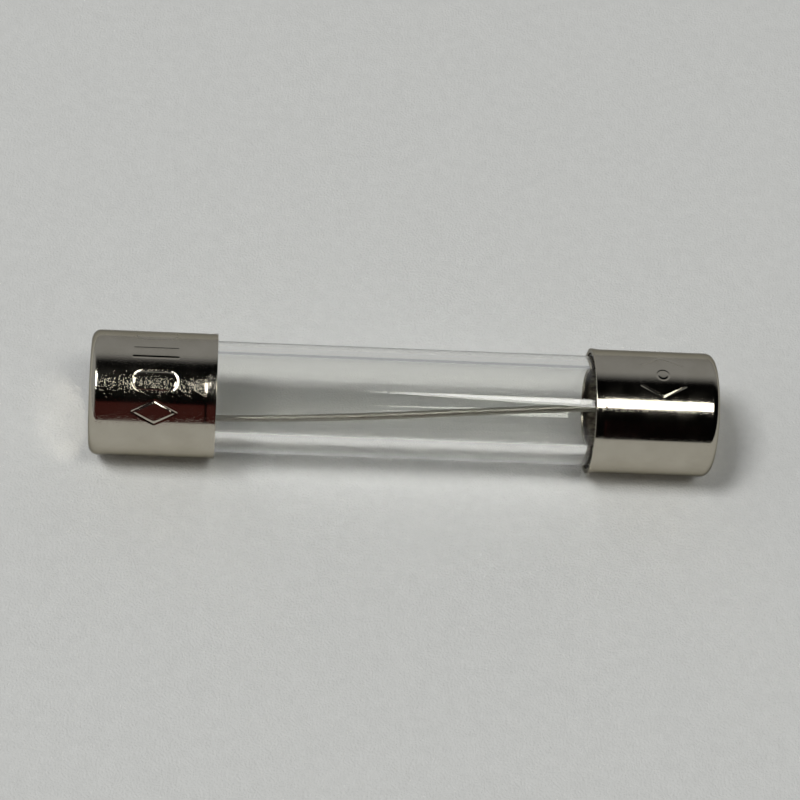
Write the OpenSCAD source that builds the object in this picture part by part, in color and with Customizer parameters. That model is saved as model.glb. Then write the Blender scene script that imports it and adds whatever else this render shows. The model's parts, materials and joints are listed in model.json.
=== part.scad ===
// Glass cartridge fuse: a glass tube, two plated caps, a soldered wire element and its cement.
// The fuse lies along X, with its middle at the origin.

/* [Fuse] */
// Length over the two caps
fuse_length = 31.75; // [26:0.25:45]

/* [Caps] */
// Outer diameter of the caps
cap_diameter = 6.35; // [5.2:0.05:9]
// Length of each cap along the fuse
cap_length = 6.35; // [4:0.05:8]
// Wall and end thickness of the drawn cap
cap_wall = 0.25; // [0.2:0.01:0.4]
// Outside radius where the end face turns into the barrel
cap_corner = 0.45; // [0.42:0.01:0.7]
// Width of the trimmed lip at the open rim
lip_width = 0.42; // [0.3:0.01:0.6]
// How far the lip stands out from the barrel
lip_height = 0.05; // [0.02:0.01:0.08]

/* [Glass] */
// Wall of the glass tube
glass_wall = 0.72; // [0.5:0.01:1]
// Radius of the fire-polished edges at the tube's two mouths
mouth_radius = 0.1; // [0.05:0.01:0.2]

/* [Element wire] */
// Diameter of the wire
wire_diameter = 0.37; // [0.15:0.01:0.45]
// How far in front of the tube's axis the wire's plane lies
wire_side = 0.62; // [0:0.01:0.8]

/* [Fits] */
// Radial gap between the glass and the cap's bore, filled with cement
cement_gap = 0.1; // [0.05:0.01:0.2]
// How far the cement stops inside the cap's rim
cement_recess = 0.3; // [0.1:0.05:1]
// How far the solder runs into the cement's gap
solder_creep = 0.6; // [0.2:0.05:1]
// Solder between the wire's turned end and the cap's end wall
solder_cover = 0.21; // [0.1:0.01:0.5]
// Height of the solder's dome inside the tube's mouth
solder_dome = 0.35; // [0.1:0.01:0.6]
// Gap between the wire and the edge of the bore where it leaves the tube
wire_clear = 0.28; // [0.15:0.01:0.5]
// Gap between the wire's turned end and the end face of the glass
wire_end_gap = 0.04; // [0.02:0.01:0.1]
// Gap between the wire's tip and the cap's bore
wire_tip_gap = 0.25; // [0.15:0.01:0.4]
// How much the wire's radius swells where it is bent
bend_swell = 0.003; // [0.002:0.001:0.006]

/* [Hidden] */
$fn = 96;

// Radii, from the cap inwards
cap_r = cap_diameter / 2;
cap_bore_r = cap_r - cap_wall;
cap_bore_corner = cap_corner - cap_wall;
glass_r = cap_bore_r - cement_gap;
glass_bore_r = glass_r - glass_wall;
wire_r = wire_diameter / 2;
lip_curve_r = (pow(lip_width / 2, 2) + pow(lip_height, 2)) / (2 * lip_height);
dome_curve_r = (pow(glass_bore_r, 2) + pow(solder_dome, 2)) / (2 * solder_dome);

// Places along the fuse, from its end inwards
cap_end_x = fuse_length / 2;
cap_floor_x = cap_end_x - cap_wall;
cap_rim_x = cap_end_x - cap_length;
glass_end_x = cap_floor_x - solder_cover - wire_diameter - wire_end_gap;
cement_end_x = glass_end_x - solder_creep;
cement_start_x = cap_rim_x + cement_recess;

// The wire's right half, in its own plane: a straight from the middle, a bend round the
// edge of the bore and a short end that lies across the glass
bend_r = wire_r + wire_clear;
bend_x = glass_end_x + wire_end_gap + wire_r - bend_r;
bend_z = sqrt(pow(glass_bore_r, 2) - pow(wire_side, 2));
bend_reach = norm([bend_x, bend_z]);
wire_rise = atan2(bend_z, bend_x) - asin(bend_r / bend_reach);
bend_lap = 0.02;
straight_half = sqrt(pow(bend_reach, 2) - pow(bend_r, 2)) + bend_lap;
wire_tip_z = sqrt(pow(cap_bore_r - wire_tip_gap, 2) - pow(wire_side + wire_r, 2));

module along_x() {
    rotate([0, 90, 0]) children();
}

// Half outline of a round bar of radius r that ends at x_end with a rounded corner
module rounded_end(r, x_start, x_end, corner) {
    translate([0, x_start]) square([r, x_end - corner - x_start]);
    translate([0, x_start]) square([r - corner, x_end - x_start]);
    translate([r - corner, x_end - corner]) circle(r = corner);
}

module lip_outline() {
    intersection() {
        translate([cap_r + lip_height - lip_curve_r, cap_rim_x + lip_width / 2])
            circle(r = lip_curve_r);
        translate([cap_bore_r, cap_rim_x])
            square([cap_wall + lip_height, lip_width]);
    }
}

module cap() {
    along_x() rotate_extrude() {
        difference() {
            rounded_end(cap_r, cap_rim_x, cap_end_x, cap_corner);
            rounded_end(cap_bore_r, cap_rim_x, cap_floor_x, cap_bore_corner);
        }
        lip_outline();
    }
}

module glass_tube() {
    straight = glass_end_x - mouth_radius;
    color("azure", 0.35) along_x() rotate_extrude() {
        translate([glass_bore_r + mouth_radius, -glass_end_x])
            square([glass_wall - 2 * mouth_radius, 2 * glass_end_x]);
        translate([glass_bore_r, -straight]) square([glass_wall, 2 * straight]);
        for (x = [-straight, straight], r = [glass_bore_r + mouth_radius, glass_r - mouth_radius])
            translate([r, x]) circle(r = mouth_radius);
    }
}

module left_cap() {
    color("silver") mirror([1, 0, 0]) cap();
}

module right_cap() {
    color("silver") cap();
}

module wire_end() {
    translate([bend_x, 0, bend_z]) {
        rotate([90, 0, 0]) rotate([0, 0, wire_rise - 90])
            rotate_extrude(angle = 90 - wire_rise) translate([bend_r, 0]) circle(r = wire_r + bend_swell);
        translate([bend_r, 0, -bend_lap]) cylinder(r = wire_r, h = wire_tip_z - bend_z + bend_lap);
    }
}

module wire_shape() {
    translate([0, -wire_side, 0]) {
        rotate([0, 90 - wire_rise, 0]) cylinder(r = wire_r, h = 2 * straight_half, center = true);
        wire_end();
        rotate([0, 180, 0]) wire_end();
    }
}

module fuse_wire() {
    color("darkkhaki") wire_shape();
}

// Fills the closed end of the cap, runs a little way round the glass and domes into its bore
module solder() {
    difference() {
        along_x() rotate_extrude() {
            rounded_end(cap_bore_r, glass_end_x, cap_floor_x, cap_bore_corner);
            translate([glass_r, cement_end_x]) square([cement_gap, solder_creep]);
            intersection() {
                translate([0, glass_end_x - solder_dome + dome_curve_r]) circle(r = dome_curve_r);
                translate([0, glass_end_x - solder_dome]) square([glass_bore_r, solder_dome]);
            }
        }
        wire_shape();
    }
}

module left_solder() {
    color("gainsboro") rotate([0, 180, 0]) solder();
}

module right_solder() {
    color("gainsboro") solder();
}

module cement() {
    along_x() rotate_extrude()
        translate([glass_r, cement_start_x]) square([cement_gap, cement_end_x - cement_start_x]);
}

module left_cement() {
    color("sienna") mirror([1, 0, 0]) cement();
}

module right_cement() {
    color("sienna") cement();
}

glass_tube();
left_cap();
right_cap();
fuse_wire();
left_solder();
right_solder();
left_cement();
right_cement();
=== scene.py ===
import json
import math

import bmesh
import bpy
import numpy as np
from mathutils import Matrix, Vector


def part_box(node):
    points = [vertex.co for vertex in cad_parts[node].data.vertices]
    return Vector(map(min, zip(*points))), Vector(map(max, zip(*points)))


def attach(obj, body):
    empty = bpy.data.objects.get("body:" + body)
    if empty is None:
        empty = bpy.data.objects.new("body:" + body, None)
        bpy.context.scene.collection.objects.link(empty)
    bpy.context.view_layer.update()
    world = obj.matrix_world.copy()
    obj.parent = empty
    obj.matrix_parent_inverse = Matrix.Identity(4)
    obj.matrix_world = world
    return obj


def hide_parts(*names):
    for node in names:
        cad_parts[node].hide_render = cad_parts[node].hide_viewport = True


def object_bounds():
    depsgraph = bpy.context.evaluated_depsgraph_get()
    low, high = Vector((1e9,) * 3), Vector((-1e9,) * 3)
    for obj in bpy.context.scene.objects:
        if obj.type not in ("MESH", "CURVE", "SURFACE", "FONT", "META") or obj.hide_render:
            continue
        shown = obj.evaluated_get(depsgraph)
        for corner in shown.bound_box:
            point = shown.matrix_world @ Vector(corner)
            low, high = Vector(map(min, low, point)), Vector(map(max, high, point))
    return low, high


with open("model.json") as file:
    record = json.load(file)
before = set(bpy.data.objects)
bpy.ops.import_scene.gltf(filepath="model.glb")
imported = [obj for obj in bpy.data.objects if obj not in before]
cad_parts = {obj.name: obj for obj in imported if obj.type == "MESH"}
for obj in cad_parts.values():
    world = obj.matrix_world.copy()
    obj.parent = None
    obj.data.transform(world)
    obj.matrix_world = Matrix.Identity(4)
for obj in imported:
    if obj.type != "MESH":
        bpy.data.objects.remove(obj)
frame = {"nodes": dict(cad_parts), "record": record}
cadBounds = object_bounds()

mm = 0.001

# The fuse lies along X with its middle at the origin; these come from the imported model, in metres
mountDims = {mount["name"]: mount["dims"] for mount in frame["record"]["mounts"]}
barrelRadius = mountDims["right_cap_barrel"]["r_mm"] * mm
capRim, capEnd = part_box("right_cap")[0].x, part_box("right_cap")[1].x
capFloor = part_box("right_solder")[1].x
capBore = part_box("right_cement")[1].z
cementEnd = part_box("right_cement")[1].x
glassRadius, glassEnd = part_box("glass_tube")[1].z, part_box("glass_tube")[1].x
glassBore = min(math.hypot(v.co.y, v.co.z) for v in frame["nodes"]["glass_tube"].data.vertices)
wireLow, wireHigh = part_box("fuse_wire")
floorLevel = cadBounds[0].z
print("frame read: barrel radius %.3f mm, glass radius %.3f mm, bore %.3f mm"
      % (barrelRadius / mm, glassRadius / mm, glassBore / mm))


def hexColour(code):
    channels = [int(code[i:i + 2], 16) / 255 for i in (1, 3, 5)]
    return [c / 12.92 if c <= 0.04045 else ((c + 0.055) / 1.055) ** 2.4 for c in channels] + [1.0]


def addNode(tree, kind, settings=None, inputs=None, links=None):
    node = tree.nodes.new(kind)
    for name, value in (settings or {}).items():
        setattr(node, name, value)
    for name, value in (inputs or {}).items():
        node.inputs[name].default_value = value
    for name, source in (links or {}).items():
        tree.links.new(source, node.inputs[name])
    return node


def newMaterial(name):
    material = bpy.data.materials.new(name)
    material.use_nodes = True
    material.node_tree.nodes.clear()
    return material


def placeInMm(tree, stretch=(1, 1, 1)):
    # The point on the piece in millimetres, so that a scale of 5 makes features a fifth of a millimetre long
    where = addNode(tree, "ShaderNodeTexCoord")
    return addNode(tree, "ShaderNodeMapping", inputs={"Scale": [s / mm for s in stretch]},
                   links={"Vector": where.outputs["Object"]}).outputs["Vector"]


# Bright nickel plate on deep-drawn brass: a warm grey mirror with fine pits that sparkle in its dark
# parts, and hairline handling scratches. Old plate is duller where it is seen at a grazing angle.
# Sizes are in millimetres. Real pits and scratches are finer: these are as coarse as they need to show.
nickelLook = {
    "colour": "#C4BEB1", "shade": "#BBB5A7", "grazing": "#A6A49F", "roughness": 0.09,
    "pitSize": 0.065, "pitDepth": {"left": 0.0015, "right": 0.0007}, "pitEdge": (0.53, 0.7),
    "scratchWidth": 0.05, "scratchStretch": 0.06, "scratchDepth": 0.00018,
    "hazeSize": 1.25, "hazeEdge": (0.35, 0.7)}


def nickelPlate(side):
    material = newMaterial("bright_nickel_plate_on_drawn_brass_" + side)
    tree = material.node_tree
    place = placeInMm(tree)
    grit = addNode(tree, "ShaderNodeTexNoise", inputs={"Scale": 1 / nickelLook["pitSize"], "Detail": 1.0},
                   links={"Vector": place})
    pits = addNode(tree, "ShaderNodeMapRange", {"interpolation_type": "SMOOTHSTEP"}, {
        "From Min": nickelLook["pitEdge"][0], "From Max": nickelLook["pitEdge"][1],
        "To Min": 1.0, "To Max": 0.0}, {"Value": grit.outputs[0]})
    pitBump = addNode(tree, "ShaderNodeBump", inputs={
        "Distance": nickelLook["pitDepth"][side] * mm, "Strength": 1.0}, links={"Height": pits.outputs[0]})
    # Scratches run mostly round the barrel, as the clips leave them
    roundBarrel = placeInMm(tree, (1, nickelLook["scratchStretch"], nickelLook["scratchStretch"]))
    scratch = addNode(tree, "ShaderNodeTexNoise", inputs={
        "Scale": 1 / nickelLook["scratchWidth"], "Detail": 2.0}, links={"Vector": roundBarrel})
    scratchBump = addNode(tree, "ShaderNodeBump", inputs={
        "Distance": nickelLook["scratchDepth"] * mm, "Strength": 1.0},
        links={"Height": scratch.outputs[0], "Normal": pitBump.outputs[0]})
    haze = addNode(tree, "ShaderNodeTexNoise", inputs={"Scale": 1 / nickelLook["hazeSize"], "Detail": 4.0},
                   links={"Vector": place})
    roughness = addNode(tree, "ShaderNodeMapRange", inputs={
        "From Min": nickelLook["hazeEdge"][0], "From Max": nickelLook["hazeEdge"][1],
        "To Min": nickelLook["roughness"] * 0.8, "To Max": nickelLook["roughness"] * 1.6},
        links={"Value": haze.outputs[0]})
    tint = addNode(tree, "ShaderNodeValToRGB", links={"Fac": haze.outputs[0]})
    tint.color_ramp.elements[0].position = 0.3
    tint.color_ramp.elements[0].color = hexColour(nickelLook["shade"])
    tint.color_ramp.elements[1].position = 0.7
    tint.color_ramp.elements[1].color = hexColour(nickelLook["colour"])
    shader = addNode(tree, "ShaderNodeBsdfPrincipled", inputs={
        "Metallic": 1.0, "Specular Tint": hexColour(nickelLook["grazing"])}, links={
        "Base Color": tint.outputs[0], "Roughness": roughness.outputs[0], "Normal": scratchBump.outputs[0]})
    addNode(tree, "ShaderNodeOutputMaterial", links={"Surface": shader.outputs[0]})
    return material


# Soda-lime glass, drawn as tube and cut: clear, with very shallow draw lines that make highlights waver
glassLook = {"colour": "#FEFEFC", "ior": 1.52, "drawLineWidth": 0.6, "drawLineStretch": 0.02,
             "drawLineHeight": 0.0002}


def sodaLimeGlass():
    material = newMaterial("drawn_soda_lime_glass")
    tree = material.node_tree
    along = placeInMm(tree, (glassLook["drawLineStretch"], 1, 1))
    lines = addNode(tree, "ShaderNodeTexNoise", inputs={
        "Scale": 1 / glassLook["drawLineWidth"], "Detail": 1.0}, links={"Vector": along})
    bump = addNode(tree, "ShaderNodeBump", inputs={
        "Distance": glassLook["drawLineHeight"] * mm, "Strength": 1.0}, links={"Height": lines.outputs[0]})
    shader = addNode(tree, "ShaderNodeBsdfPrincipled", inputs={
        "Base Color": hexColour(glassLook["colour"]), "Roughness": 0.0, "IOR": glassLook["ior"],
        "Transmission Weight": 1.0}, links={"Normal": bump.outputs[0]})
    addNode(tree, "ShaderNodeOutputMaterial", links={"Surface": shader.outputs[0]})
    return material


# Tinned copper-alloy wire, drawn: satin grey with a straw cast and fine marks along its length
wireLook = {"colour": "#A8A79D", "shade": "#8B897F", "roughness": 0.46,
            "markWidth": 0.04, "markStretch": 0.05, "markDepth": 0.002}


def tinnedWire():
    material = newMaterial("drawn_tinned_wire")
    tree = material.node_tree
    along = placeInMm(tree, (wireLook["markStretch"], 1, 1))
    marks = addNode(tree, "ShaderNodeTexNoise", inputs={"Scale": 1 / wireLook["markWidth"], "Detail": 2.0},
                    links={"Vector": along})
    bump = addNode(tree, "ShaderNodeBump", inputs={
        "Distance": wireLook["markDepth"] * mm, "Strength": 0.6}, links={"Height": marks.outputs[0]})
    shade = addNode(tree, "ShaderNodeValToRGB", links={"Fac": marks.outputs[0]})
    shade.color_ramp.elements[0].position = 0.3
    shade.color_ramp.elements[0].color = hexColour(wireLook["shade"])
    shade.color_ramp.elements[1].position = 0.65
    shade.color_ramp.elements[1].color = hexColour(wireLook["colour"])
    shader = addNode(tree, "ShaderNodeBsdfPrincipled", inputs={
        "Metallic": 1.0, "Roughness": wireLook["roughness"]},
        links={"Base Color": shade.outputs[0], "Normal": bump.outputs[0]})
    addNode(tree, "ShaderNodeOutputMaterial", links={"Surface": shader.outputs[0]})
    return material


# Tin-lead solder, flowed and left to freeze: bright but frosty, in grains a fifth of a millimetre wide
solderLook = {"colour": "#C3C4C2", "roughness": 0.34, "grain": 0.2, "grainDepth": 0.012}


def frozenSolder():
    material = newMaterial("frozen_tin_lead_solder")
    tree = material.node_tree
    place = placeInMm(tree)
    grains = addNode(tree, "ShaderNodeTexVoronoi", inputs={"Scale": 1 / solderLook["grain"]},
                     links={"Vector": place})
    bump = addNode(tree, "ShaderNodeBump", inputs={
        "Distance": solderLook["grainDepth"] * mm, "Strength": 0.5},
        links={"Height": grains.outputs["Distance"]})
    roughness = addNode(tree, "ShaderNodeMapRange", inputs={
        "To Min": solderLook["roughness"] * 0.7, "To Max": solderLook["roughness"] * 1.3},
        links={"Value": grains.outputs["Distance"]})
    shader = addNode(tree, "ShaderNodeBsdfPrincipled", inputs={
        "Base Color": hexColour(solderLook["colour"]), "Metallic": 1.0},
        links={"Roughness": roughness.outputs[0], "Normal": bump.outputs[0]})
    addNode(tree, "ShaderNodeOutputMaterial", links={"Surface": shader.outputs[0]})
    return material


# Filled capping cement, baked: a dull grey paste with dark crumbs; its open edge is painted dark brown,
# partly residue and partly painted shade in the gap inside the rim
cementLook = {"colour": "#8C877C", "dark": "#3B352D", "residueAndShade": "#1E130B", "residueAndShadeDepth": 0.2,
              "roughness": 0.45, "crumb": 0.3, "crumbDepth": 0.01}


def bakedCement():
    material = newMaterial("baked_filled_cement")
    tree = material.node_tree
    crumbs = addNode(tree, "ShaderNodeTexNoise", inputs={"Scale": 1 / cementLook["crumb"], "Detail": 3.0},
                     links={"Vector": placeInMm(tree)})
    shade = addNode(tree, "ShaderNodeValToRGB", links={"Fac": crumbs.outputs[0]})
    shade.color_ramp.elements[0].position = 0.35
    shade.color_ramp.elements[0].color = hexColour(cementLook["dark"])
    shade.color_ramp.elements[1].position = 0.65
    shade.color_ramp.elements[1].color = hexColour(cementLook["colour"])
    bump = addNode(tree, "ShaderNodeBump", inputs={
        "Distance": cementLook["crumbDepth"] * mm, "Strength": 0.6}, links={"Height": crumbs.outputs[0]})
    # Both rings lie the same way out from the middle, so the distance along X finds the open edge
    axes = addNode(tree, "ShaderNodeSeparateXYZ", links={"Vector": placeInMm(tree)})
    out = addNode(tree, "ShaderNodeMath", {"operation": "ABSOLUTE"}, links={0: axes.outputs["X"]})
    # Painted shade: the cement nearest the rim is darkened to stand in for the shade in the gap there, on
    # top of its brown residue
    residueAndShadeEnd = capRim / mm + cementLook["residueAndShadeDepth"]
    residueAndShade = addNode(tree, "ShaderNodeMapRange", {"interpolation_type": "SMOOTHSTEP"}, {
        "From Min": residueAndShadeEnd, "From Max": residueAndShadeEnd + cementLook["residueAndShadeDepth"],
        "To Min": 1.0, "To Max": 0.0}, {"Value": out.outputs[0]})
    whole = addNode(tree, "ShaderNodeMix", {"data_type": "RGBA"}, links={
        0: residueAndShade.outputs[0], 6: shade.outputs[0]})
    whole.inputs[7].default_value = hexColour(cementLook["residueAndShade"])
    shader = addNode(tree, "ShaderNodeBsdfPrincipled", inputs={"Roughness": cementLook["roughness"]},
                     links={"Base Color": whole.outputs[2], "Normal": bump.outputs[0]})
    addNode(tree, "ShaderNodeOutputMaterial", links={"Surface": shader.outputs[0]})
    return material


def arcPoints(centreX, centreR, radius, startDegrees, endDegrees, steps):
    turns = [math.radians(startDegrees + (endDegrees - startDegrees) * i / steps) for i in range(steps + 1)]
    return [(centreX + radius * math.cos(a), centreR + radius * math.sin(a)) for a in turns]


def addPiece(name, points, faces, material):
    mesh = bpy.data.meshes.new(name)
    mesh.from_pydata([tuple(p) for p in points], [], [tuple(f) for f in faces])
    work = bmesh.new()
    work.from_mesh(mesh)
    bmesh.ops.remove_doubles(work, verts=work.verts, dist=1e-7)
    bmesh.ops.recalc_face_normals(work, faces=work.faces)
    work.to_mesh(mesh)
    work.free()
    mesh.polygons.foreach_set("use_smooth", [True] * len(mesh.polygons))
    mesh.materials.append(material)
    piece = bpy.data.objects.new(name, mesh)
    bpy.context.scene.collection.objects.link(piece)
    return piece


# Turns an outline of (x, radius) points about the fuse's axis. Angles run from +Y up towards +Z.
def turnedPiece(name, outline, angles, material, reshape=None, ring=False, mirrored=False):
    x = np.repeat(np.array([p[0] for p in outline])[:, None], len(angles), axis=1)
    radius = np.repeat(np.array([p[1] for p in outline])[:, None], len(angles), axis=1)
    angle = np.repeat(np.array(angles)[None, :], len(outline), axis=0)
    if reshape:
        x, radius = reshape(x, radius, angle)
    if mirrored:
        x = -x
    points = np.stack([x, radius * np.cos(angle), radius * np.sin(angle)], axis=-1).reshape(-1, 3)
    rows, columns = len(outline), len(angles)
    faces = []
    for i in range(rows if ring else rows - 1):
        for j in range(columns):
            below, above, after = i * columns, (i + 1) % rows * columns, (j + 1) % columns
            faces.append((below + j, below + after, above + after, above + j))
    return addPiece(name, points, faces, material)


def evenAngles(count):
    return [2 * math.pi * i / count for i in range(count)]


def evenSteps(start, end, longest):
    count = max(1, math.ceil(abs(end - start) / longest))
    return [start + (end - start) * i / count for i in range(count + 1)]


# The drawn caps. Each has a flared lip at its open rim, a crease behind it, a straight barrel and a
# rounded end. Sizes in millimetres.
capShape = {
    "lipWidth": 0.5, "lipFlare": {"left": 0.014, "right": 0.045}, "mouthFlare": 0.06,
    "creasePlace": {"left": 0.42, "right": 0.44}, "creaseWidth": {"left": 0.13, "right": 0.07},
    "creaseDepth": {"left": 0.011, "right": 0.003},
    "rimRound": 0.03, "cornerRadius": 0.45, "wall": 0.25, "endDish": 0.02}


# The bore opens a little towards the rim, so that the glass goes in easily
def boreAt(x):
    inside = max(0.0, 1 - (x - capRim / mm) / capShape["lipWidth"])
    return capBore / mm + capShape["mouthFlare"] * inside ** 2


# Stamped marks, plain shapes only, in millimetres and degrees. "middle" is their place along the fuse, and
# "first" the first mark's angle up from the front. The mesh is finer where they are: from "fineStart" to
# "fineEnd" along the fuse, and "halfTurn" to each side of a mark.
markShape = {
    "middle": {"left": 12.6, "right": 12.95}, "first": {"left": 35.0, "right": 90.0}, "pitch": 29.0,
    "length": 2.2, "hexagon": 1.3, "ring": 0.28, "lozenge": 1.1, "lozengeSquash": 0.55,
    "strokeWidth": 0.055, "strokeDepth": 0.024, "reach": 1.8,
    "grid": 0.03, "fineStart": 11.3, "fineEnd": 14.3, "halfTurn": 34.0}


# Each mark is a list of lines, and each line a list of (along the fuse, round the barrel) in millimetres
def polygonMark(along, around, radius, sides, start=0.0, squash=1.0):
    turns = [start + 2 * math.pi * i / sides for i in range(sides + 1)]
    return [(along + radius * math.cos(a), around + radius * squash * math.sin(a)) for a in turns]


def slotMark(along, around, length, width):
    half, r = length / 2 - width / 2, width / 2
    turns = [math.pi * i / 10 for i in range(11)]
    right = [(along + half + r * math.sin(a), around + r * math.cos(a)) for a in turns]
    left = [(along - half - r * math.sin(a), around - r * math.cos(a)) for a in turns]
    return right + left + right[:1]


def barMark(along, around, length):
    return [(along - length / 2, around), (along + length / 2, around)]


def lineDistance(u, v, line):
    nearest = np.full(u.shape, 1e9)
    for (u0, v0), (u1, v1) in zip(line, line[1:]):
        lengthSquared = (u1 - u0) ** 2 + (v1 - v0) ** 2
        share = np.clip(((u - u0) * (u1 - u0) + (v - v0) * (v1 - v0)) / lengthSquared, 0, 1)
        nearest = np.minimum(nearest, np.hypot(u - u0 - share * (u1 - u0), v - v0 - share * (v1 - v0)))
    return nearest


# The angle of each mark's middle, up from the front, and the mark there
def markPlaces(side):
    middle, long = markShape["middle"][side], markShape["length"]
    first, pitch = markShape["first"][side], markShape["pitch"]
    if side == "right":
        hexagon = [polygonMark(middle, 0, markShape["hexagon"], 6, math.pi / 6),
                   polygonMark(middle, 0, markShape["ring"], 16)]
        bars = [barMark(middle, 0, long), barMark(middle, 0.5, long)]
        slot = [slotMark(middle, 0, long, 0.9)]
        return [(first, hexagon), (first + 1.9 * pitch, bars), (first + 2.9 * pitch, slot)]
    lozenge = [polygonMark(middle, 0, markShape["lozenge"], 4, squash=markShape["lozengeSquash"])]
    slot = [slotMark(middle, 0, long, 1.0)]
    bars = [barMark(middle, -0.3, long), barMark(middle, 0.3, long)]
    return [(first + i * pitch, mark) for i, mark in enumerate([lozenge, slot, bars, slot, lozenge])]


def stampMarks(side):
    stroke, depth = markShape["strokeWidth"], markShape["strokeDepth"]

    def reshape(x, radius, angle):
        relief = np.zeros(x.shape)
        onBarrel = (radius > barrelRadius / mm - 0.001) & (x > capRim / mm + 1)  # outside, clear of the lip
        for frontAngle, lines in markPlaces(side):
            centre = math.pi - math.radians(frontAngle)
            turn = (centre - angle + math.pi) % (2 * math.pi) - math.pi
            around = turn * barrelRadius / mm
            near = onBarrel & (np.abs(around) < markShape["reach"])
            for line in lines:
                d = lineDistance(x[near], around[near], line)
                groove = -depth * np.exp(-(d / stroke) ** 2)
                # The metal beside a stroke is pushed back up, but never above the barrel
                shoulder = 0.22 * depth * np.exp(-((d - 2.2 * stroke) / stroke) ** 2)
                deeper = np.abs(groove) > np.abs(relief[near])
                relief[near] = np.where(deeper, groove, relief[near]) + shoulder
        return x * mm, (radius + np.clip(relief, -depth, 0)) * mm
    return reshape


def capOutline(side):
    rim, end, floor = capRim / mm, capEnd / mm, capFloor / mm
    outer, bore = barrelRadius / mm, capBore / mm
    corner, innerCorner = capShape["cornerRadius"], capShape["cornerRadius"] - capShape["wall"]
    edge, lip = capShape["rimRound"], capShape["lipWidth"]

    def lipHeight(t):
        flare = capShape["lipFlare"][side] * max(0.0, 1 - t / lip) ** 1.5
        fromCrease = (t - capShape["creasePlace"][side]) / capShape["creaseWidth"][side]
        return flare - capShape["creaseDepth"][side] * math.exp(-fromCrease ** 2)

    # Inside: the end wall, its corner and the bore
    outline = [(floor, r) for r in evenSteps(0, bore - innerCorner, 0.3)]
    outline += arcPoints(floor - innerCorner, bore - innerCorner, innerCorner, 0, 90, 6)[1:]
    outline += [(x, bore) for x in evenSteps(floor - innerCorner - 0.05, rim + lip + 0.05, 0.4)]
    outline += [(x, boreAt(x)) for x in evenSteps(rim + lip, rim + edge, 0.05)]
    # The rim, then the lip and its crease
    rimTop = outer + lipHeight(edge)
    outline += arcPoints(rim + edge, boreAt(rim + edge) + edge, edge, 270, 180, 5)[1:]
    outline += arcPoints(rim + edge, rimTop - edge, edge, 180, 90, 5)
    outline += [(rim + t, outer + lipHeight(t)) for t in evenSteps(edge, lip + 0.4, 0.02)[1:]]
    # The barrel, in finer steps where the marks are, then the corner and the dished end
    grid, fineStart, fineEnd = markShape["grid"], markShape["fineStart"], markShape["fineEnd"]
    outline += [(x, outer) for x in evenSteps(rim + lip + 0.45, fineStart, 0.12)]
    outline += [(x, outer) for x in evenSteps(fineStart + grid, fineEnd, grid)]
    outline += [(x, outer) for x in evenSteps(fineEnd + grid, end - corner - 0.02, 0.12)]
    outline += arcPoints(end - corner, outer - corner, corner, 90, 0, 16)
    dish = capShape["endDish"]
    for r in evenSteps(outer - corner - 0.04, 0, 0.2):
        outline.append((end - dish * (1 - (r / (outer - corner)) ** 6), r))
    return outline


def capAngles(side):
    fine, coarse = math.degrees(markShape["grid"] / (barrelRadius / mm)), 2.0
    halfTurn = markShape["halfTurn"]
    ranges = [(centre - halfTurn, centre + halfTurn) for centre, _ in markPlaces(side)]
    angles, front = [], 0.0
    while front < 360 - fine / 2:
        angles.append(math.pi - math.radians(front))
        near = any(low <= front <= high or low <= front - 360 <= high for low, high in ranges)
        front += fine if near else coarse
    return [a % (2 * math.pi) for a in angles]


def buildCap(side):
    name = side + "_cap"
    cap = turnedPiece(name + "_plated", capOutline(side), capAngles(side), nickelPlate(side),
                      stampMarks(side), mirrored=side == "left")
    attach(cap, "root")
    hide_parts(name)
    print("%s: %d faces" % (name, len(cap.data.polygons)))


for side in ("left", "right"):
    buildCap(side)


# The tube: cut to length, its mouths melted round in a flame
tubeShape = {
    "mouthRadius": 0.1 * mm, "boreShrink": 0.11 * mm, "boreShift": 0.12 * mm, "shiftAngle": 38.0,
    "boreWander": 0.004 * mm, "evenEnd": 1 * mm, "fade": 3 * mm, "sides": 256}


def tubeReshape(x, radius, angle):
    # The wall is thicker on one side, as in most drawn tube, and evens out towards the melted mouths
    inside = radius < (glassRadius + glassBore) / 2
    share = np.clip((glassEnd - tubeShape["evenEnd"] - np.abs(x)) / tubeShape["fade"], 0, 1)
    uneven = tubeShape["boreShift"] * np.cos(angle - math.radians(tubeShape["shiftAngle"]))
    wander = tubeShape["boreWander"] * (np.sin(2 * angle + 0.7) + 0.5 * np.sin(3 * angle + x * 90))
    return x, radius + np.where(inside, wander + share * (uneven - tubeShape["boreShrink"]), 0)


def buildTube():
    r, end = tubeShape["mouthRadius"], glassEnd - tubeShape["mouthRadius"]
    outline = [(x, glassRadius) for x in evenSteps(-end, end, 1.5 * mm)]
    outline += arcPoints(end, glassRadius - r, r, 90, 0, 6)[1:]
    outline += arcPoints(end, glassBore + r, r, 0, -90, 6)
    outline += [(x, glassBore) for x in evenSteps(end, -end, 1.5 * mm)[1:]]
    outline += arcPoints(-end, glassBore + r, r, 270, 180, 6)[1:]
    outline += arcPoints(-end, glassRadius - r, r, 180, 90, 6)[:-1]
    tube = turnedPiece("glass_tube_drawn", outline, evenAngles(tubeShape["sides"]), sodaLimeGlass(),
                       tubeReshape, ring=True)
    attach(tube, "root")
    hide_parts("glass_tube")
    print("glass tube: %d faces" % len(tube.data.polygons))


buildTube()


# The element: one slanting wire, bent out over the tube's two mouths
wireShape = {
    "bendRadius": 0.465 * mm, "swell": 0.003 * mm, "wander": 0.02 * mm,
    "bow": 0.17 * mm, "bowAngle": 38.0, "bowStart": -14 * mm, "bowLength": 22 * mm, "sides": 24}


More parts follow.
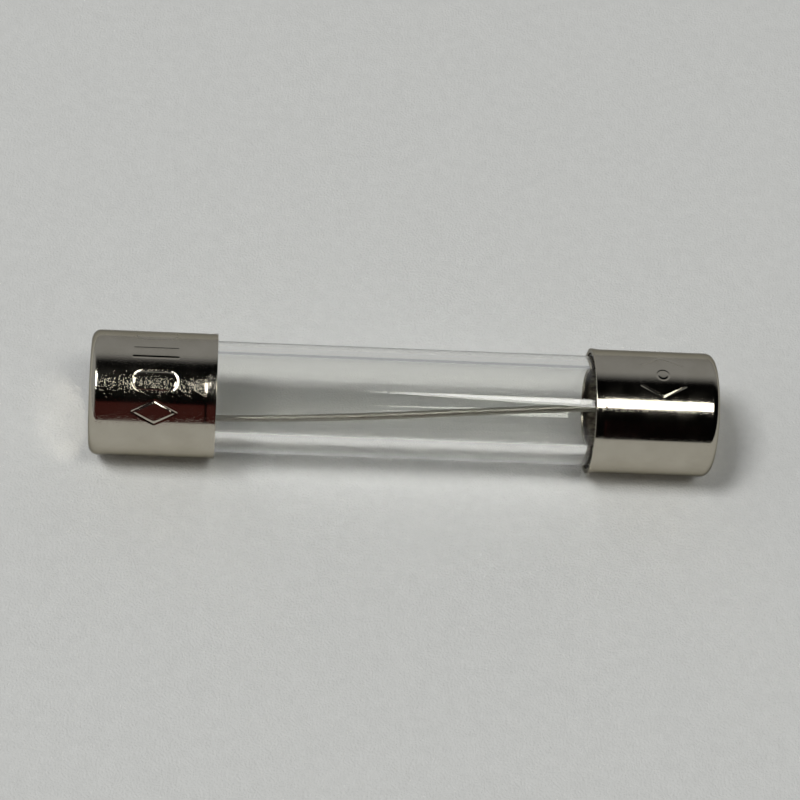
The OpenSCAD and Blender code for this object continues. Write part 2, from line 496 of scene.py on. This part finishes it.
# The wire bows forward and down, most in its left half, and is back in line before each mouth. The
# powers put the lowest point left of the bow's middle and ease its two ends.
def wireBow(x):
    along = min(1.0, max(0.0, (x - wireShape["bowStart"]) / wireShape["bowLength"]))
    bow = wireShape["bow"] * math.sin(math.pi * along ** 0.75) ** 1.2
    angle = math.radians(wireShape["bowAngle"])
    return Vector((0, -bow * math.cos(angle), -bow * math.sin(angle)))


def wirePath():
    wireRadius = (wireHigh.y - wireLow.y) / 2 - wireShape["swell"]
    planeY, bend = (wireHigh.y + wireLow.y) / 2, wireShape["bendRadius"]
    centreX = wireHigh.x - wireRadius - wireShape["swell"] - bend
    centreZ = math.sqrt(glassBore ** 2 - planeY ** 2)
    rise = math.atan2(centreZ, centreX) - math.asin(bend / math.hypot(centreX, centreZ))
    startX, startZ = centreX + bend * math.sin(rise), centreZ - bend * math.cos(rise)
    straight = math.hypot(startX, startZ)
    half = []
    for s in evenSteps(0, straight, 0.25 * mm):
        sag = wireShape["wander"] * math.sin(2 * math.pi * s / straight)
        half.append((s * math.cos(rise) - sag * math.sin(rise), s * math.sin(rise) + sag * math.cos(rise)))
    half += arcPoints(centreX, centreZ, bend, math.degrees(rise) - 90, 0, 12)[1:]
    half += [(centreX + bend, z) for z in evenSteps(centreZ, wireHigh.z, 0.1 * mm)[1:]]
    other = [(-x, -z) for x, z in half[:0:-1]]
    return wireRadius, [Vector((x, planeY, z)) + wireBow(x) for x, z in other + half]


def buildWire():
    wireRadius, path = wirePath()
    sides, sideways = wireShape["sides"], Vector((0, 1, 0))
    points, faces = [], []
    for i, centre in enumerate(path):
        along = (path[min(i + 1, len(path) - 1)] - path[max(i - 1, 0)]).normalized()
        up = sideways.cross(along)
        for a in evenAngles(sides):
            points.append(centre + wireRadius * (math.cos(a) * sideways + math.sin(a) * up))
    for i in range(len(path) - 1):
        for j in range(sides):
            k = (j + 1) % sides
            faces.append((i * sides + j, i * sides + k, (i + 1) * sides + k, (i + 1) * sides + j))
    faces.append(tuple(range(sides)))
    faces.append(tuple((len(path) - 1) * sides + j for j in range(sides)))
    wire = addPiece("fuse_wire_drawn", points, faces, tinnedWire())
    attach(wire, "root")
    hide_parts("fuse_wire")
    print("fuse wire: %d faces" % len(wire.data.polygons))


buildWire()


# Solder that fills each cap's closed end, runs a little way round the glass and domes into the bore
solderShape = {"gap": 0.006 * mm, "dome": 0.35 * mm, "ripple": 0.06 * mm}


def buildSolder(side):
    gap, dome = solderShape["gap"], solderShape["dome"]
    inner = (capShape["cornerRadius"] - capShape["wall"]) * mm
    outline = [(capFloor - gap, r) for r in evenSteps(0, capBore - inner, 0.4 * mm)]
    outline += arcPoints(capFloor - inner, capBore - inner, inner - gap, 0, 90, 5)
    creepStart = capFloor - inner - 0.05 * mm
    outline += [(x, capBore - gap) for x in evenSteps(creepStart, cementEnd + gap, 0.2 * mm)]
    outline += [(cementEnd + gap, glassRadius + gap), (glassEnd + gap, glassRadius + gap)]
    outline += [(glassEnd + gap, glassBore - gap)]
    curve = (glassBore ** 2 + dome ** 2) / (2 * dome)
    for r in evenSteps(glassBore - gap, 0, 0.08 * mm)[1:]:
        outline.append((glassEnd - dome + curve - math.sqrt(curve ** 2 - r ** 2), r))
    start = glassEnd - 0.01 * mm

    def reshape(x, radius, angle):
        share = np.clip((start - x) / dome, 0, 1)
        y, z = radius * np.cos(angle) / mm, radius * np.sin(angle) / mm
        wave = np.sin(3.1 * y + 1.3) * np.cos(2.3 * z - 0.4) + 0.5 * np.sin(5.2 * z + 2.1 * y)
        return x + share * solderShape["ripple"] * wave, radius

    solder = turnedPiece(side + "_solder_flowed", outline, evenAngles(96), frozenSolder(), reshape,
                         mirrored=side == "left")
    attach(solder, "root")
    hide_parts(side + "_solder")


# Cement that fills the gap between glass and cap, with an uneven edge just inside the rim
cementShape = {
    "gap": 0.006 * mm, "recess": 0.03 * mm, "creep": 0.05 * mm, "flare": 0.6 * mm, "fade": 0.4 * mm}


def buildCement(side):
    gap = cementShape["gap"]
    inner, outer = glassRadius + gap, capBore - gap
    start = capRim + cementShape["recess"] + cementShape["creep"] * 1.5
    outline = [(cementEnd, outer)]
    flareEnd = capRim + cementShape["flare"]
    outline += [(x, boreAt(x / mm) * mm - gap) for x in evenSteps(flareEnd, start, 0.04 * mm)]
    outline += [(start + 0.02 * mm, (inner + outer) / 2 + 0.02 * mm)]
    outline += [(x, inner) for x in evenSteps(start, cementEnd, 0.1 * mm)]

    def reshape(x, radius, angle):
        edge = np.clip((start + cementShape["fade"] - x) / cementShape["fade"], 0, 1)
        wave = 0.5 + 0.5 * np.sin(3 * angle + 0.6) * np.cos(7 * angle + 1.1) + 0.25 * np.sin(17 * angle)
        return x - edge * cementShape["creep"] * wave, radius

    cement = turnedPiece(side + "_cement_ring", outline, evenAngles(240), bakedCement(), reshape,
                         ring=True, mirrored=side == "left")
    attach(cement, "root")
    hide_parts(side + "_cement")


for side in ("left", "right"):
    buildSolder(side)
    buildCement(side)
print("solder and cement done")


# The table: matt white board, with a faint mottle and a fine tooth, in millimetres. The tooth is as
# coarse as it needs to show. The board's size is in metres.
tableLook = {
    "colour": "#DFE0DE", "shade": "#DADBD9", "roughness": 0.75, "gloss": 0.2, "size": 1.1,
    "tooth": 0.12, "toothDepth": 0.05, "mottle": 0.5}


def buildTable():
    material = newMaterial("matt_white_board")
    tree = material.node_tree
    place = placeInMm(tree)
    tooth = addNode(tree, "ShaderNodeTexNoise", inputs={"Scale": 1 / tableLook["tooth"], "Detail": 3.0},
                    links={"Vector": place})
    mottle = addNode(tree, "ShaderNodeTexNoise", inputs={"Scale": 1 / tableLook["mottle"], "Detail": 4.0},
                     links={"Vector": place})
    bump = addNode(tree, "ShaderNodeBump", inputs={
        "Distance": tableLook["toothDepth"] * mm, "Strength": 1.0}, links={"Height": tooth.outputs[0]})
    shade = addNode(tree, "ShaderNodeValToRGB", links={"Fac": mottle.outputs[0]})
    shade.color_ramp.elements[0].position = 0.3
    shade.color_ramp.elements[0].color = hexColour(tableLook["shade"])
    shade.color_ramp.elements[1].position = 0.7
    shade.color_ramp.elements[1].color = hexColour(tableLook["colour"])
    shader = addNode(tree, "ShaderNodeBsdfPrincipled", inputs={
        "Roughness": tableLook["roughness"], "Specular IOR Level": tableLook["gloss"]},
        links={"Base Color": shade.outputs[0], "Normal": bump.outputs[0]})
    addNode(tree, "ShaderNodeOutputMaterial", links={"Surface": shader.outputs[0]})
    half = tableLook["size"] / 2
    corners = [(-half, -half), (half, -half), (half, half), (-half, half)]
    mesh = bpy.data.meshes.new("table")
    mesh.from_pydata([(x, y, floorLevel) for x, y in corners], [], [(0, 1, 2, 3)])
    mesh.materials.append(material)
    table = bpy.data.objects.new("table", mesh)
    bpy.context.scene.collection.objects.link(table)


buildTable()


# Two soft panels stand over the table. A corner is (slope to the side, degrees up from the front), and
# the distance is in metres.
panelLights = {
    "key_panel": {"distance": 1.5, "strength": 8.6, "colour": "#FFFEF8",
                  "corners": [(0.148, 59), (0.45, 59), (0.45, 74), (0.058, 74)]},
    "side_panel": {"distance": 1.2, "strength": 20.5, "colour": "#FFFFFF",
                   "corners": [(-0.6, 68), (-0.3, 68), (-0.3, 86), (-0.6, 86)]}}


def buildPanel(name, look):
    points = []
    for slope, degrees in look["corners"]:
        up = math.radians(degrees)
        points.append(look["distance"] * Vector((slope, -math.cos(up), math.sin(up))))
    mesh = bpy.data.meshes.new(name)
    mesh.from_pydata(points, [], [(0, 1, 2, 3)])
    material = newMaterial(name + "_diffuser")
    light = addNode(material.node_tree, "ShaderNodeEmission", inputs={
        "Color": hexColour(look["colour"]), "Strength": look["strength"]})
    addNode(material.node_tree, "ShaderNodeOutputMaterial", links={"Surface": light.outputs[0]})
    mesh.materials.append(material)
    panel = bpy.data.objects.new(name, mesh)
    bpy.context.scene.collection.objects.link(panel)


for name, look in panelLights.items():
    buildPanel(name, look)


# The room: a pale wall behind and another at the left, dark overhead and in front, and a dark red
# curtain in front. Each edge gives where a part of the room starts and ends, as an axis's share of the
# direction. "seen" is what the camera sees past the table.
roomLook = {
    "wall": "#F7F9FC", "dark": 0.0015, "back": 0.36, "backEdge": (0.32, 0.68),
    "left": 0.42, "leftEdge": (-0.45, -0.75), "curtain": "#43201D", "curtainTop": (0.56, 0.58),
    "curtainFacing": (-0.7, -0.8), "curtainSide": (0.12, 0.05), "seen": "#C6C7C6"}


def buildRoom():
    world = bpy.data.worlds.new("quiet_room")
    bpy.context.scene.world = world
    world.use_nodes = True
    tree = world.node_tree
    tree.nodes.clear()
    direction = addNode(tree, "ShaderNodeTexCoord").outputs["Generated"]
    axes = addNode(tree, "ShaderNodeSeparateXYZ", links={"Vector": direction})
    back = addNode(tree, "ShaderNodeMapRange", {"interpolation_type": "SMOOTHSTEP"}, {
        "From Min": roomLook["backEdge"][0], "From Max": roomLook["backEdge"][1],
        "To Min": roomLook["dark"], "To Max": roomLook["back"]}, {"Value": axes.outputs["Y"]})
    left = addNode(tree, "ShaderNodeMapRange", {"interpolation_type": "SMOOTHSTEP"}, {
        "From Min": roomLook["leftEdge"][0], "From Max": roomLook["leftEdge"][1],
        "To Min": 0.0, "To Max": roomLook["left"]}, {"Value": axes.outputs["X"]})
    walls = addNode(tree, "ShaderNodeMath", {"operation": "MAXIMUM"}, links={
        0: back.outputs[0], 1: left.outputs[0]})
    pale = addNode(tree, "ShaderNodeBackground", inputs={"Color": hexColour(roomLook["wall"])},
                   links={"Strength": walls.outputs[0]})
    # The curtain reaches about 35 degrees up, and ends where only the left cap reflects it
    low = addNode(tree, "ShaderNodeMapRange", inputs={
        "From Min": roomLook["curtainTop"][0], "From Max": roomLook["curtainTop"][1],
        "To Min": 1.0, "To Max": 0.0}, links={"Value": axes.outputs["Z"]})
    facing = addNode(tree, "ShaderNodeMapRange", inputs={
        "From Min": roomLook["curtainFacing"][0], "From Max": roomLook["curtainFacing"][1]},
        links={"Value": axes.outputs["Y"]})
    beside = addNode(tree, "ShaderNodeMapRange", inputs={
        "From Min": roomLook["curtainSide"][0], "From Max": roomLook["curtainSide"][1]},
        links={"Value": axes.outputs["X"]})
    share = addNode(tree, "ShaderNodeMath", {"operation": "MULTIPLY"}, links={
        0: low.outputs[0], 1: facing.outputs[0]})
    curtainShare = addNode(tree, "ShaderNodeMath", {"operation": "MULTIPLY"}, links={
        0: share.outputs[0], 1: beside.outputs[0]})
    curtain = addNode(tree, "ShaderNodeBackground", inputs={"Color": hexColour(roomLook["curtain"])},
                      links={"Strength": curtainShare.outputs[0]})
    around = addNode(tree, "ShaderNodeAddShader", links={0: pale.outputs[0], 1: curtain.outputs[0]})
    seen = addNode(tree, "ShaderNodeBackground", inputs={"Color": hexColour(roomLook["seen"])})
    path = addNode(tree, "ShaderNodeLightPath")
    either = addNode(tree, "ShaderNodeMixShader", links={
        0: path.outputs["Is Camera Ray"], 1: around.outputs[0], 2: seen.outputs[0]})
    addNode(tree, "ShaderNodeOutputWorld", links={"Surface": either.outputs[0]})


buildRoom()
print("table, panels and room done")


# The camera stands in front and above, a little to the left, and looks down at 52 degrees. Places and
# lens are in millimetres, turns in degrees.
cameraLook = {
    "left": 11.0, "distance": 145.0, "elevation": 52.0, "lens": 128.1, "sensor": 36,
    "yaw": -4.28, "pitch": 0.07, "roll": 2.20}


def buildCamera():
    up = math.radians(cameraLook["elevation"])
    facing = Matrix(((1, 0, 0), (0, math.sin(up), -math.cos(up)), (0, math.cos(up), math.sin(up)))).to_4x4()
    turn = facing
    for axis, part in (("Y", "yaw"), ("X", "pitch"), ("Z", "roll")):
        turn = turn @ Matrix.Rotation(math.radians(cameraLook[part]), 4, axis)
    away = cameraLook["distance"] * mm
    place = Vector((-cameraLook["left"] * mm, -away * math.cos(up), away * math.sin(up)))
    data = bpy.data.cameras.new("camera")
    data.lens = cameraLook["lens"]
    data.sensor_width = cameraLook["sensor"]
    data.clip_start = 0.005
    data.clip_end = 20
    camera = bpy.data.objects.new("camera", data)
    camera.matrix_world = Matrix.Translation(place) @ turn
    bpy.context.scene.collection.objects.link(camera)
    bpy.context.scene.camera = camera


buildCamera()

# The table under the tube is lit through the glass, which needs long light paths and unblurred caustics
scene = bpy.context.scene
scene.view_settings.view_transform = "Standard"
scene.cycles.max_bounces = 24
scene.cycles.transmission_bounces = 20
scene.cycles.glossy_bounces = 8
scene.cycles.diffuse_bounces = 4
scene.cycles.caustics_refractive = True
scene.cycles.caustics_reflective = True
scene.cycles.blur_glossy = 0.0
scene.cycles.use_denoising = True
